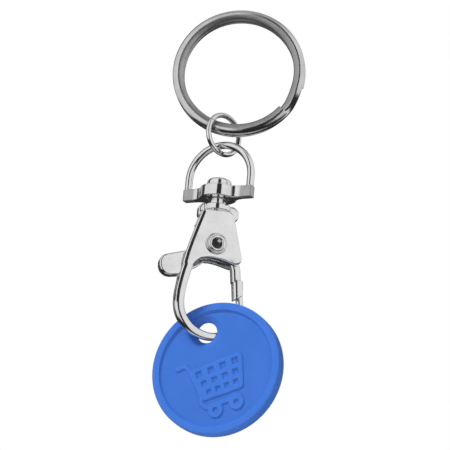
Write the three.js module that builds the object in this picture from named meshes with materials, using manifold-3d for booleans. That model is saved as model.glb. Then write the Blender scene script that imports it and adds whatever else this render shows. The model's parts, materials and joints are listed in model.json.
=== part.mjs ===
// Trolley token on a swivel trigger hook, with a jump ring and a split key ring.
// Millimetres, +Z up. The fob hangs; the origin is the inside top of the split ring, where a key
// or a nail carries it. The viewer's side is -Y and +X is to the viewer's right.
import * as THREE from "three";
import { mergeVertices } from "three/addons/utils/BufferGeometryUtils.js";
import Module from "manifold-3d";

const wasm = await Module();
wasm.setup();

// ---- driving dimensions -------------------------------------------------------------------
const RING_OUTER_R = 11.77; // split ring
const RING_WIDTH = 2.05; // radial width of its flattened wire
const RING_WIRE_T = 1.16; // axial thickness of one coil
const RING_SPLIT = 0.06; // gap left between the two coils

const LINK_OUTER_R = 4.0; // jump ring
const LINK_WIRE_R = 0.475;
const LINK_YAW = 48; // degrees, its plane turned about the vertical

const EYE_OUTER_R = 6.73; // swivel eye: half of its outer width, and radius of its top bend
const EYE_WIRE = 1.35;
const EYE_DEPTH = 1.5;
const EYE_YAW = -20.9;
const COLLAR_R = 3.2;
const COLLAR_BORE_R = 1.75;
const COLLAR_H = 2.1;

const HOOK_YAW = 20; // hook, turned on its swivel
const BODY_T = 4.6; // over both cheeks
const SLOT_T = 2.3; // between the cheeks
const SHOULDER_T = 1.7;
const REAR_NARROWER = 0.8; // the rear cheek's left side stands this far inside the front one's
const CHEEK_LAP = 0.6; // each cheek's plate runs this far past the middle
const POST_R = 1.5;
const POST_HEAD_R = 2.15;
const NECK_R = 2.45;
const NECK_FOOT_Z = 6.28; // underside of the neck flange above the rivet
const NECK_TOP_Z = 7.43;
const PLAY = 0.1; // running clearance
const RIVET_R = 1.2; // barrel of the tubular rivet
const RIVET_BORE_R = 0.88;
const RIVET_FLANGE_R = 1.9;

const GATE_T = 1.96; // thickness of the lever between the cheeks
const SPRING_R = 2.0; // mean radius of the coil
const SPRING_WIRE_R = 0.13;
const SPRING_TURNS = 3.25;

const TOKEN_R = 11.625; // coin-size disc
const TOKEN_T = 2.3; // over the rims
const FIELD_T = 1.56; // between the sunk fields
const RIM_WIDTH = 1.45;
const HOLE_R = 1.82;
const HOLE_UP = 6.95; // hole centre above the disc's centre
const MOTIF_H = 0.24; // relief of the trolley above the field

// ---- places in the hanging frame ------------------------------------------------------------
const HOOK_X = -1.71; // swivel axis, left of the hang point
const RIVET_Z = -41.93;
const LINK_Z = -21.36;
const COLLAR_Z = RIVET_Z + 8.6; // underside of the collar
const TOKEN_AT = [0.95, -0.67, -63.7];
const TOKEN_YAW = -15;
const TOKEN_TILT = -2;
const TOKEN_ROLL = -21.4;

// ---- helpers --------------------------------------------------------------------------------
const rad = THREE.MathUtils.degToRad;
const X = new THREE.Vector3(1, 0, 0);
const Y = new THREE.Vector3(0, 1, 0);

// A closed geometry as a solid for joining and cutting, with its faces turned outwards.
function solid(geometry) {
  const bare = geometry.clone();
  bare.deleteAttribute("normal");
  bare.deleteAttribute("uv");
  const merged = mergeVertices(bare, 1e-4);
  const vertProperties = merged.attributes.position.array;
  const build = (triVerts) =>
    new wasm.Manifold(new wasm.Mesh({ numProp: 3, vertProperties, triVerts }));
  const made = build(new Uint32Array(merged.index.array));
  return made.volume() < 0 ? build(new Uint32Array(merged.index.array).reverse()) : made;
}

function geometryOf(body) {
  const mesh = body.getMesh();
  const g = new THREE.BufferGeometry();
  g.setAttribute("position", new THREE.BufferAttribute(mesh.vertProperties, 3));
  g.setIndex(new THREE.BufferAttribute(mesh.triVerts, 1));
  const flat = g.toNonIndexed();
  flat.computeVertexNormals();
  return flat;
}

const join = (...parts) => parts.reduce((whole, part) => whole.add(part));

// Points round a superellipse: power 2 is an ellipse, a higher power is squarer.
function oval(halfWidth, halfHeight, count, power = 2) {
  return Array.from({ length: count }, (_, i) => {
    const t = ((i + 0.5) / count) * 2 * Math.PI;
    const c = Math.cos(t);
    const s = Math.sin(t);
    const k = (Math.abs(c) ** power + Math.abs(s) ** power) ** (-1 / power);
    return [halfWidth * c * k, halfHeight * s * k];
  });
}

// A closed shape that always runs anticlockwise.
function shapeOf(points) {
  const run = points.map(([x, y]) => new THREE.Vector2(x, y));
  return new THREE.Shape(THREE.ShapeUtils.isClockWise(run) ? run.reverse() : run);
}

// A section extruded in steps and then carried along stations: each station has a centre, two
// section axes and, where the piece tapers, two scales.
function sweep(stations, section) {
  const steps = stations.length - 1;
  const g = new THREE.ExtrudeGeometry(shapeOf(section), { depth: 1, steps, bevelEnabled: false });
  const place = g.attributes.position;
  const v = new THREE.Vector3();
  for (let i = 0; i < place.count; i++) {
    const s = stations[Math.round(place.getZ(i) * steps)];
    const [p, q] = s.scale || [1, 1];
    v.copy(s.at);
    v.addScaledVector(s.a, place.getX(i) * p);
    v.addScaledVector(s.b, place.getY(i) * q);
    place.setXYZ(i, v.x, v.y, v.z);
  }
  return solid(g);
}

// Linear look-up through [x, y] pairs with rising x.
function along(table, x) {
  for (let i = 1; i < table.length; i++) {
    const [x0, y0] = table[i - 1];
    const [x1, y1] = table[i];
    if (x <= x1) return y0 + ((y1 - y0) * Math.max(0, x - x0)) / (x1 - x0);
  }
  return table[table.length - 1][1];
}

// A plate in the X-Z plane with rounded rims, centred on Y = 0 unless moved.
function plate(points, thickness, { round = 0, steps = 2, y = 0 } = {}) {
  const g = new THREE.ExtrudeGeometry(shapeOf(points), {
    depth: thickness - 2 * round,
    bevelEnabled: round > 0,
    bevelThickness: round,
    bevelSize: round,
    bevelSegments: steps,
  });
  g.translate(0, 0, -(thickness - 2 * round) / 2);
  g.rotateX(Math.PI / 2);
  g.translate(0, y, 0);
  return solid(g);
}

// A piece turned about Y from [radius, y] pairs.
function turned(profile, segments = 32) {
  return solid(new THREE.LatheGeometry(profile.map(([r, y]) => new THREE.Vector2(r, y)), segments));
}

const upright = (body) => body.rotate([90, 0, 0]); // from turned about Y to turned about Z

function cylinder(radius, from, to, segments = 24) {
  return turned([[0, from], [radius, from], [radius, to], [0, to]], segments);
}

// ---- materials ------------------------------------------------------------------------------
const steel = new THREE.MeshStandardMaterial({ color: 0xb4b8bb, roughness: 0.28, metalness: 1 });
const nickel = new THREE.MeshStandardMaterial({ color: 0xc9cccf, roughness: 0.18, metalness: 1 });
const castNickel = new THREE.MeshStandardMaterial({ color: 0xd2d4d6, roughness: 0.22, metalness: 1 });
const bluePlastic = new THREE.MeshStandardMaterial({ color: 0x3f76d6, roughness: 0.45, metalness: 0 });

// ---- split ring -----------------------------------------------------------------------------
// Two turns of flattened wire. The front turn starts at START, runs clockwise, crosses to the
// back over CROSS degrees and makes the back turn behind it.
function splitRing() {
  const START = -39;
  const TURN = 333;
  const CROSS = 25;
  const STEP = 9;
  const half = RING_WIRE_T / 2;
  const level = half + RING_SPLIT / 2;
  const r = RING_OUTER_R - RING_WIDTH / 2;
  const section = oval(RING_WIDTH / 2, half, 10, 1.7);
  const turns = [];
  for (let t = 0; t < TURN; t += STEP) turns.push([t, -level]);
  for (let i = 0; i <= 8; i++) {
    const f = i / 8;
    turns.push([TURN + f * CROSS, -level + 2 * level * f * f * (3 - 2 * f)]);
  }
  for (let t = STEP; t <= TURN; t += STEP) turns.push([TURN + CROSS + t, level]);
  const stations = turns.map(([t, y]) => {
    const a = rad(START - t);
    const out = new THREE.Vector3(Math.cos(a), 0, Math.sin(a));
    return { at: out.clone().multiplyScalar(r).setY(y), a: out, b: Y };
  });
  return sweep(stations, section);
}

// ---- jump ring ------------------------------------------------------------------------------
function jumpRing() {
  const SEAM = 148;
  const OPEN = 1.2; // degrees left on each side of the seam
  const COUNT = 36;
  const r = LINK_OUTER_R - LINK_WIRE_R;
  const stations = Array.from({ length: COUNT + 1 }, (_, i) => {
    const a = rad(SEAM + OPEN + ((360 - 2 * OPEN) * i) / COUNT);
    const out = new THREE.Vector3(Math.cos(a), 0, Math.sin(a));
    return { at: out.clone().multiplyScalar(r), a: out, b: Y };
  });
  return sweep(stations, oval(LINK_WIRE_R, LINK_WIRE_R, 10));
}

// ---- swivel eye -----------------------------------------------------------------------------
// Origin on the swivel axis at the underside of the collar.
function swivelEye() {
  const mid = EYE_OUTER_R - EYE_WIRE / 2;
  const bendZ = 3.96; // where the straight legs meet the top bend
  const BEND_STEPS = 20;
  const stations = [{ at: new THREE.Vector3(mid, 0, 0.4), a: X, b: Y }];
  for (let i = 0; i <= BEND_STEPS; i++) {
    const t = (i / BEND_STEPS) * Math.PI;
    const out = new THREE.Vector3(Math.cos(t), 0, Math.sin(t));
    const at = out.clone().multiplyScalar(mid);
    at.z += bendZ;
    stations.push({ at, a: out, b: Y });
  }
  stations.push({ at: new THREE.Vector3(-mid, 0, 0.4), a: X.clone().negate(), b: Y });
  const bail = sweep(stations, oval(EYE_WIRE / 2, EYE_DEPTH / 2, 12, 3));

  // Cross bar and collar as one plan outline, raised to the collar's height.
  const d = EYE_DEPTH / 2;
  const end = EYE_OUTER_R;
  const flare = Math.atan2(1.55, 2.8);
  const quarter = [[end, d - 0.25], [end - 0.25, d], [4.5, d], [3.7, 0.95], [3.15, 1.25]];
  for (let i = 0; i <= 6; i++) {
    const t = flare + ((Math.PI / 2 - flare) * i) / 6;
    quarter.push([COLLAR_R * Math.cos(t), COLLAR_R * Math.sin(t)]);
  }
  const upper = [...quarter, ...quarter.slice(0, -1).reverse().map(([x, y]) => [-x, y])];
  const outline = [...upper, ...upper.slice().reverse().map(([x, y]) => [x, -y])];
  const bar = new THREE.ExtrudeGeometry(shapeOf(outline), {
    depth: COLLAR_H - 0.24,
    bevelThickness: 0.12,
    bevelSize: 0.12,
    bevelOffset: -0.12,
    bevelSegments: 1,
  });
  bar.translate(0, 0, 0.12);
  const bore = upright(cylinder(COLLAR_BORE_R, -5, 5));
  return join(bail, solid(bar)).subtract(bore);
}

// ---- hook body ------------------------------------------------------------------------------
// Origin at the rivet; local -Y is the front cheek.
const CHEEK = [
  [-2.5, 5.65],
  [1.9, 5.8],
  [2.35, 5.4],
  [2.55, 4.7],
  [4.3, -1.75],
  [4.4, -2.3],
  [4.05, -2.75],
  [3.4, -2.85],
  [1.97, -2.5],
  [0.9, -2.27],
  [-0.3, -2.17],
  [-1.4, -2.27],
  [-2.59, -2.61],
  [-3.53, -3.44],
  [-4.13, -4.3],
  [-5.12, -4.3],
  [-4.92, -2.27],
  [-4.3, 0.0],
  [-3.52, 2.64],
  [-2.74, 5.3],
];
const SHOULDER = [
  [-2.8, 4.6],
  [-3.1, 5.5],
  [-3.1, 6.6],
  [-2.6, 7.2],
  [2.9, 7.2],
  [3.5, 6.6],
  [3.5, 5.5],
  [2.6, 4.6],
];
const SLOT = [
  [-8, 2.9],
  [-1.5, 3.3],
  [2.1, 3.3],
  [2.6, 1.2],
  [8, 0.6],
  [8, -4],
  [-2.8, -4],
  [-2.8, -6.35],
  [-8, -6.35],
];
// Centre line of the cast hook, from the left cheek round to the tip.
const HOOK_LINE = [
  [-4.15, -2.2],
  [-4.5, -4.3],
  [-4.9, -6.4],
  [-5.24, -9.1],
  [-5.2, -11.0],
  [-4.75, -12.6],
  [-3.85, -13.95],
  [-2.6, -15.0],
  [-1.0, -15.68],
  [0.6, -15.92],
  [2.2, -15.65],
  [3.7, -14.8],
  [4.85, -13.4],
  [5.4, -11.6],
  [5.45, -9.8],
  [5.25, -8.1],
];
// Width in the hook's plane and depth across it, by the fraction of the length.
const HOOK_WIDTH = [
  [0, 1.5],
  [0.1, 1.8],
  [0.25, 1.92],
  [0.42, 1.9],
  [0.53, 1.7],
  [0.62, 1.45],
  [0.9, 1.38],
  [1, 1.25],
];
const HOOK_DEPTH = [
  [0, 4.3],
  [0.06, 4.2],
  [0.14, 3.7],
  [0.22, 2.8],
  [0.3, 2.2],
  [0.45, 1.85],
  [0.56, 1.25],
  [0.7, 1.2],
  [0.955, 1.3],
  [0.97, 0.9],
  [1, 0.9],
];

function hookWire() {
  const COUNT = 48;
  const curve = new THREE.CatmullRomCurve3(HOOK_LINE.map(([x, z]) => new THREE.Vector3(x, 0, z)));
  const stations = Array.from({ length: COUNT + 1 }, (_, i) => {
    const f = i / COUNT;
    const way = curve.getTangentAt(f);
    return {
      at: curve.getPointAt(f),
      a: new THREE.Vector3(way.z, 0, -way.x),
      b: Y,
      scale: [along(HOOK_WIDTH, f) / 2, along(HOOK_DEPTH, f) / 2],
    };
  });
  return sweep(stations, oval(1, 1, 12, 2.5));
}

function hookBody() {
  const collarZ = COLLAR_Z - RIVET_Z;
  const headZ = collarZ + COLLAR_H + PLAY;
  const stem = upright(
    turned([
      [0, 5],
      [NECK_R - 0.6, 5],
      [NECK_R - 0.6, NECK_FOOT_Z],
      [NECK_R - 0.15, NECK_FOOT_Z],
      [NECK_R, NECK_FOOT_Z + 0.15],
      [NECK_R, NECK_TOP_Z - 0.2],
      [NECK_R - 0.2, NECK_TOP_Z],
      [POST_R, NECK_TOP_Z],
      [POST_R, headZ],
      [POST_HEAD_R, headZ],
      [POST_HEAD_R, headZ + 0.95],
      [POST_HEAD_R - 0.35, headZ + 1.3],
      [POST_HEAD_R - 0.9, headZ + 1.45],
      [0, headZ + 1.45],
    ]),
  );
  const rearCheek = CHEEK.map(([x, z]) => [x < -2 && z > -4 ? x + REAR_NARROWER : x, z]);
  const cheekT = BODY_T / 2 + CHEEK_LAP;
  const cheekY = (BODY_T / 2 - CHEEK_LAP) / 2;
  const whole = join(
    plate(CHEEK, cheekT, { round: 0.35, y: -cheekY }),
    plate(rearCheek, cheekT, { round: 0.35, y: cheekY }),
    plate(SHOULDER, SHOULDER_T, { round: 0.3 }),
    stem,
    hookWire(),
  );
  return whole.subtract(plate(SLOT, SLOT_T)).subtract(cylinder(RIVET_R + 0.08, -5, 5));
}

// ---- tubular rivet --------------------------------------------------------------------------
function pivotRivet() {
  const face = BODY_T / 2 + 0.05;
  const lip = [
    [RIVET_BORE_R, face + 0.05],
    [RIVET_BORE_R + 0.16, face + 0.38],
    [RIVET_BORE_R + 0.42, face + 0.48],
    [RIVET_FLANGE_R - 0.35, face + 0.4],
    [RIVET_FLANGE_R, face + 0.14],
    [RIVET_FLANGE_R, face],
    [RIVET_R, face],
  ];
  const backLip = lip.map(([r, y]) => [r, -y]).reverse();
  return turned([...lip, ...backLip, lip[0]]);
}

// ---- gate lever -----------------------------------------------------------------------------
// Thumb tab on the left, pivot, and an arm whose channelled end takes the hook's tip.
const LEVER = [
  [-3.4, -1.3],
  [-8.2, -2.9],
  [-8.75, -3.25],
  [-9.05, -3.9],
  [-9.0, -4.75],
  [-8.7, -5.45],
  [-8.1, -5.9],
  [-7.3, -6.02],
  [-5.9, -5.75],
  [-5.1, -5.05],
  [-4.5, -4.1],
  [-3.9, -3.2],
  [-3.0, -2.3],
  [-2.0, -1.75],
  [0, -1.6],
  [1.6, -1.75],
  [2.8, -2.6],
  [4.2, -2.6],
  [3.4, -1.0],
  [2.3, 0.3],
  [1.45, 0.9],
  [0.9, 1.4],
  [0, 1.65],
  [-0.9, 1.4],
  [-1.6, 0.5],
];
const ARM = [
  [2.9, -1.6],
  [3.7, -2.5],
  [4.12, -3.6],
  [4.3, -4.8],
  [4.42, -5.9],
];

function gateLever() {
  const blade = plate(LEVER, GATE_T, { round: 0.3 });
  const line = new THREE.CatmullRomCurve3(ARM.map(([x, z]) => new THREE.Vector3(x, 0, z)));
  const arm = sweep(
    Array.from({ length: 9 }, (_, i) => {
      const way = line.getTangentAt(i / 8);
      return { at: line.getPointAt(i / 8), a: new THREE.Vector3(way.z, 0, -way.x), b: Y };
    }),
    oval(0.88, 0.9, 12, 3),
  );
  const from = new THREE.Vector3(4.66, 0, -5.6);
  const to = new THREE.Vector3(5.1, 0, -9.3);
  const way = to.clone().sub(from).normalize();
  const across = new THREE.Vector3(way.z, 0, -way.x);
  const sleeve = sweep(
    [
      { at: from, a: across, b: Y },
      { at: to, a: across, b: Y },
    ],
    oval(1, 0.98, 14, 2.6),
  );
  const slantedEnd = plate([[3.2, -9.75], [7, -7.25], [7, -12], [3.2, -12]], 4);
  const channel = plate([[4.3, -7.0], [7, -7.0], [7, -12], [4.68, -12]], 1.14);
  const springRoom = cylinder(2.42, -0.66, 0.66, 28);
  const springLegRoom = plate([[0, -2.32], [0, -1.4], [2.35, -1.4], [2.35, -2.32]], 1.32);
  return join(blade, arm, sleeve)
    .subtract(slantedEnd)
    .subtract(channel)
    .subtract(springRoom)
    .subtract(springLegRoom)
    .add(leverHub())
    .subtract(cylinder(RIVET_R + PLAY, -5, 5));
}

// Two washers of the lever that ride on the rivet, one on each side of the spring.
function leverHub() {
  const ear = (y) => cylinder(1.6, y - 0.16, y + 0.16);
  return join(ear(GATE_T / 2 - 0.16), ear(-GATE_T / 2 + 0.16));
}

// ---- gate spring ----------------------------------------------------------------------------
// A torsion coil round the rivet: one leg stands against the roof of the slot, the other
// presses on the arm.
function gateSpring() {
  const PER_TURN = 16;
  const rise = 0.86;
  const stations = [{ at: new THREE.Vector3(-SPRING_R, -rise / 2, 2.75), a: X.clone().negate(), b: Y }];
  const count = Math.round(SPRING_TURNS * PER_TURN);
  for (let i = 0; i <= count; i++) {
    const t = Math.PI + (i / PER_TURN) * 2 * Math.PI;
    const out = new THREE.Vector3(Math.cos(t), 0, Math.sin(t));
    const at = out.clone().multiplyScalar(SPRING_R).setY(-rise / 2 + (rise * i) / count);
    stations.push({ at, a: out, b: Y });
  }
  const endSide = stations[stations.length - 1].a;
  stations.push({ at: new THREE.Vector3(1.85, rise / 2, -1.25), a: endSide, b: Y });
  return sweep(stations, oval(SPRING_WIRE_R, SPRING_WIRE_R, 6));
}

// ---- trolley token --------------------------------------------------------------------------
// Origin at the disc's centre, face on the X-Z plane, hole straight above.
const BASKET = [
  [-4.25, 1.25],
  [4.3, 1.25],
  [4.95, 0.95],
  [5.12, 0.3],
  [4.0, -4.55],
  [3.65, -5.0],
  [3.1, -5.1],
  [-3.5, -4.85],
  [-4.4, -0.4],
];
// Rows of square windows: height, first centre, pitch and half width.
const WINDOW_ROWS = [
  [-0.05, -3.1, 2.25, 0.52],
  [-1.92, -2.62, 1.96, 0.46],
  [-3.66, -2.17, 1.66, 0.4],
];
const WINDOWS_PER_ROW = 4;
const POLE = [
  [-6.7, 2.2],
  [-5.1, 2.35],
  [-4.6, 1.2],
  [-3.7, -3.9],
  [-4.1, -5.2],
  [-3.5, -6.1],
  [-2.0, -6.6],
];
const POLE_WIDTH = 0.72;
const CHASSIS = [
  [-3.5, -6.1],
  [1.9, -6.3],
];
const CHASSIS_WIDTH = 0.8;
const WHEELS = [-2.0, 1.93];
const WHEEL_Z = -7.1;
const WHEEL_R = 1.4;
const HUB_R = 0.42;

function motif() {
  const depth = FIELD_T / 2 + MOTIF_H;
  const slab = (points) => plate(points, depth, { y: -depth / 2 });
  const square = (x, z, s) => [[x - s, z - s], [x - s, z + s], [x + s, z + s], [x + s, z - s]];
  const disc = (x, z, r) => slab(oval(r, r, 20).map(([p, q]) => [x + p, z + q]));
  const stroke = (points, width) => {
    const parts = [];
    for (let i = 1; i < points.length; i++) {
      const [x0, z0] = points[i - 1];
      const [x1, z1] = points[i];
      const long = Math.hypot(x1 - x0, z1 - z0);
      const nx = (-(z1 - z0) / long) * (width / 2);
      const nz = ((x1 - x0) / long) * (width / 2);
      const left = [[x0 + nx, z0 + nz], [x1 + nx, z1 + nz]];
      const right = [[x1 - nx, z1 - nz], [x0 - nx, z0 - nz]];
      parts.push(slab([...left, ...right]));
      parts.push(disc(x1, z1, width / 2));
    }
    return join(...parts);
  };

  let cart = slab(BASKET);
  for (const [z, first, pitch, s] of WINDOW_ROWS) {
    for (let i = 0; i < WINDOWS_PER_ROW; i++) {
      cart = cart.subtract(slab(square(first + i * pitch, z, s)));
    }
  }
  cart = join(cart, stroke(POLE, POLE_WIDTH), stroke(CHASSIS, CHASSIS_WIDTH));
  for (const x of WHEELS) {
    const wheel = disc(x, WHEEL_Z, WHEEL_R).subtract(disc(x, WHEEL_Z, HUB_R));
    cart = cart.subtract(disc(x, WHEEL_Z, WHEEL_R - 0.4)).add(wheel);
  }
  return cart;
}

function trolleyToken() {
  const f = FIELD_T / 2;
  const t = TOKEN_T / 2;
  const inner = TOKEN_R - RIM_WIDTH;
  const half = [
    [inner - 0.12, f],
    [inner + 0.1, t],
    [TOKEN_R - 0.25, t],
    [TOKEN_R - 0.05, t - 0.12],
    [TOKEN_R, t - 0.3],
  ];
  const mirrored = (profile) => profile.slice().reverse().map(([r, y]) => [r, -y]);
  const disc = turned([[0, f], ...half, ...mirrored(half), [0, -f]], 72);
  const sunk = [
    [0, 1.1],
    [2.95, 1.1],
    [2.7, 0.8],
    [2.25, 0.48],
    [HOLE_R, 0.18],
  ];
  const hole = turned([...sunk, ...mirrored(sunk)], 28);
  const front = motif();
  const back = front.rotate([0, 0, 180]);
  return join(disc, front, back).subtract(hole.translate([0, 0, HOLE_UP]));
}

// ---- the fob --------------------------------------------------------------------------------
const fob = new THREE.Group();

function piece(name, body, material, parent) {
  const mesh = new THREE.Mesh(geometryOf(body), material);
  mesh.name = name;
  parent.add(mesh);
  return mesh;
}

const ring = piece("split_ring", splitRing(), steel, fob);
ring.position.set(0, 0, -(RING_OUTER_R - RING_WIDTH));

const link = piece("jump_ring", jumpRing(), nickel, fob);
link.position.set(HOOK_X, 0, LINK_Z);
link.rotation.z = rad(LINK_YAW);

const eye = piece("swivel_eye", swivelEye(), nickel, fob);
eye.position.set(HOOK_X, 0, COLLAR_Z);
eye.rotation.z = rad(EYE_YAW);

const hook = new THREE.Group();
hook.position.set(HOOK_X, 0, RIVET_Z);
hook.rotation.z = rad(HOOK_YAW);
fob.add(hook);
piece("hook_body", hookBody(), castNickel, hook);
piece("pivot_rivet", pivotRivet(), nickel, hook);
piece("gate_lever", gateLever(), castNickel, hook);
piece("gate_spring", gateSpring(), steel, hook);

const token = piece("trolley_token", trolleyToken(), bluePlastic, fob);
token.position.set(...TOKEN_AT);
token.rotation.set(rad(TOKEN_TILT), rad(TOKEN_ROLL), rad(TOKEN_YAW), "ZXY");

export default fob;
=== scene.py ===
import json
import math

import bmesh
import bpy
import numpy as np
from mathutils import Matrix, Vector
from mathutils.geometry import tessellate_polygon


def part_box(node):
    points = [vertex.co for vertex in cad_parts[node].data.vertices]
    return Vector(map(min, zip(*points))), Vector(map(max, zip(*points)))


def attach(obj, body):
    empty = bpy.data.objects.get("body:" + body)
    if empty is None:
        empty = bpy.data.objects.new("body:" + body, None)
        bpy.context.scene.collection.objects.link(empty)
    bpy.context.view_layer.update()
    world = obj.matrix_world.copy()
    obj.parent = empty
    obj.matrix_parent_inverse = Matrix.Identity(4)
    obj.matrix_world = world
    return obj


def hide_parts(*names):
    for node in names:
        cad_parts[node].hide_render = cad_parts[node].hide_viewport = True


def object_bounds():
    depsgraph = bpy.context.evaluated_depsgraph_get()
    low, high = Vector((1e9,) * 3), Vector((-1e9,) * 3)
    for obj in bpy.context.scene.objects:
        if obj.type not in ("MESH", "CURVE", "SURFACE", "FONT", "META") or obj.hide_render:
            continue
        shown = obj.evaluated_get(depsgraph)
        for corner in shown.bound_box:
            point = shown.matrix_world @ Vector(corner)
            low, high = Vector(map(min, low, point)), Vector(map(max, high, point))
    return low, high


MM = 0.001

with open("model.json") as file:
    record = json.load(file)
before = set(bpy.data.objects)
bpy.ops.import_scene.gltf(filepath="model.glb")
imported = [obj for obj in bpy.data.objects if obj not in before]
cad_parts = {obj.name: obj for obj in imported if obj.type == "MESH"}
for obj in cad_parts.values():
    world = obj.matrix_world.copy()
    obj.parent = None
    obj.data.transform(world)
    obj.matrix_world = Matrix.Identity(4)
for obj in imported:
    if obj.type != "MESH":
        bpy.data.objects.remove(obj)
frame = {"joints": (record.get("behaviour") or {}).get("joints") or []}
cad_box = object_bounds()
joints = {joint["name"]: joint for joint in frame["joints"]}


# ---- places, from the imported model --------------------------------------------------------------
def joint_place(name):
    return Vector(joints[name]["pos_m"])


def axis_yaw(name):
    """Turn about the vertical that takes +X to the joint's level axis."""
    x, y, _ = joints[name]["axis"]
    return math.atan2(y, x)


def placed(at, yaw, tilt=0.0, roll=0.0):
    """The frame at a place, rolled about Y, then tilted about X, then turned about Z."""
    turn = Matrix.Rotation(yaw, 4, "Z") @ Matrix.Rotation(tilt, 4, "X")
    return Matrix.Translation(at) @ (turn @ Matrix.Rotation(roll, 4, "Y"))


def centre_of(node):
    low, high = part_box(node)
    return (low + high) / 2


HOOK_AXIS = joint_place("hook_swivel")
RIVET = joint_place("gate_pivot")
LINK_YAW = axis_yaw("eye_swing")
# The turns and sizes from here on are the ones that the CAD has.
HOOK_YAW, EYE_YAW = math.radians(20), math.radians(-20.9)
TOKEN_AT = (0.00095, -0.00067, -0.0637)
TOKEN_YAW, TOKEN_TILT, TOKEN_ROLL = (math.radians(a) for a in (-15, -2, -21.4))
COLLAR_UP = 8.6  # underside of the collar above the rivet
COLLAR_H = 2.1
PLAY = 0.1  # running clearance

RING_FRAME = placed((0, 0, centre_of("split_ring").z), 0)
LINK_FRAME = placed((HOOK_AXIS.x, 0, centre_of("jump_ring").z), LINK_YAW)
EYE_FRAME = placed((HOOK_AXIS.x, 0, RIVET.z + COLLAR_UP * MM), EYE_YAW)
HOOK_FRAME = placed(RIVET, HOOK_YAW)
TOKEN_FRAME = placed(TOKEN_AT, TOKEN_YAW, TOKEN_TILT, TOKEN_ROLL)


# ---- mesh helpers -------------------------------------------------------------------------------
def scratch(verts, faces):
    """A loose mesh object in millimetres, outward faces, not yet a piece of the fob."""
    mesh = bpy.data.meshes.new("scratch")
    mesh.from_pydata([tuple(v) for v in verts], [], faces)
    bm = bmesh.new()
    bm.from_mesh(mesh)
    bmesh.ops.recalc_face_normals(bm, faces=bm.faces)
    bm.to_mesh(mesh)
    bm.free()
    obj = bpy.data.objects.new("scratch", mesh)
    bpy.context.scene.collection.objects.link(obj)
    return obj


def applied(obj):
    """The object with its modifiers made real."""
    graph = bpy.context.evaluated_depsgraph_get()
    mesh = bpy.data.meshes.new_from_object(obj.evaluated_get(graph))
    obj.modifiers.clear()
    obj.data = mesh
    return obj


def boolean(obj, other, operation):
    step = obj.modifiers.new(operation, "BOOLEAN")
    step.operation = operation
    step.solver = "MANIFOLD"
    step.object = other
    applied(obj)
    bpy.data.objects.remove(other)
    return obj


def joined(first, *others):
    for other in others:
        boolean(first, other, "UNION")
    return first


def cut(obj, *others):
    for other in others:
        boolean(obj, other, "DIFFERENCE")
    return obj


def oval(half_width, half_height, count, power=2.0):
    """Points round a superellipse: power 2 is an ellipse, a higher power is squarer."""
    points = []
    for i in range(count):
        t = 2 * math.pi * (i + 0.5) / count
        c, s = math.cos(t), math.sin(t)
        k = (abs(c) ** power + abs(s) ** power) ** (-1 / power)
        points.append((half_width * c * k, half_height * s * k))
    return points


def loft(rings, closed=False):
    """A skin over rings of points; open lofts get a flat face at each end."""
    count = len(rings[0])
    verts = [p for ring in rings for p in ring]
    faces = []
    spans = len(rings) if closed else len(rings) - 1
    for i in range(spans):
        a, b = i * count, ((i + 1) % len(rings)) * count
        for k in range(count):
            n = (k + 1) % count
            faces.append((a + k, a + n, b + n, b + k))
    if not closed:
        faces.append(tuple(range(count)))
        faces.append(tuple(range(len(verts) - 1, len(verts) - 1 - count, -1)))
    return scratch(verts, faces)


def swept(stations, section, cap=0.0):
    """A section carried along (centre, side axis, depth axis, side scale, depth scale) stations.
    cap rounds both cut ends by that many millimetres."""

    def ring(station, shrink=0.0, shift=None):
        at, a, b, p, q = station
        reach = max(max(abs(x) for x, _ in section) * p, max(abs(y) for _, y in section) * q)
        keep = 1 - shrink / reach
        base = at if shift is None else at + shift
        return [base + a * (x * p * keep) + b * (y * q * keep) for x, y in section]

    rings = [ring(s) for s in stations]
    if cap:
        cap_steps = 4
        first = (stations[0][0] - stations[1][0]).normalized()
        last = (stations[-1][0] - stations[-2][0]).normalized()
        for i in range(1, cap_steps + 1):
            t = i / cap_steps * math.pi / 2
            inward, out = cap * (1 - math.cos(t)), cap * math.sin(t)
            rings.insert(0, ring(stations[0], inward, first * out))
            rings.append(ring(stations[-1], inward, last * out))
    return loft(rings)


def look_up(table, x):
    xs, ys = zip(*table)
    return float(np.interp(x, xs, ys))


def smooth_line(points, count):
    """Evenly spaced points on a curve through the given ones, and its direction at each."""
    per_span = 24
    p = np.array(points, float)
    p = np.vstack([2 * p[0] - p[1], p, 2 * p[-1] - p[-2]])
    dense = []
    for i in range(1, len(p) - 2):
        for t in np.linspace(0, 1, per_span, endpoint=False):
            a, b, c, d = p[i - 1], p[i], p[i + 1], p[i + 2]
            cubic = (2 * b) + (c - a) * t + (2 * a - 5 * b + 4 * c - d) * t**2
            dense.append((cubic + (3 * b - a - 3 * c + d) * t**3) / 2)
    dense.append(p[-2])
    dense = np.array(dense)
    gaps = np.linalg.norm(np.diff(dense, axis=0), axis=1)
    along = np.concatenate([[0], np.cumsum(gaps)])
    wanted = np.linspace(0, along[-1], count)
    line = np.column_stack([np.interp(wanted, along, dense[:, k]) for k in range(dense.shape[1])])
    way = np.gradient(line, axis=0)
    way /= np.linalg.norm(way, axis=1)[:, None]
    return line, way


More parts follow.
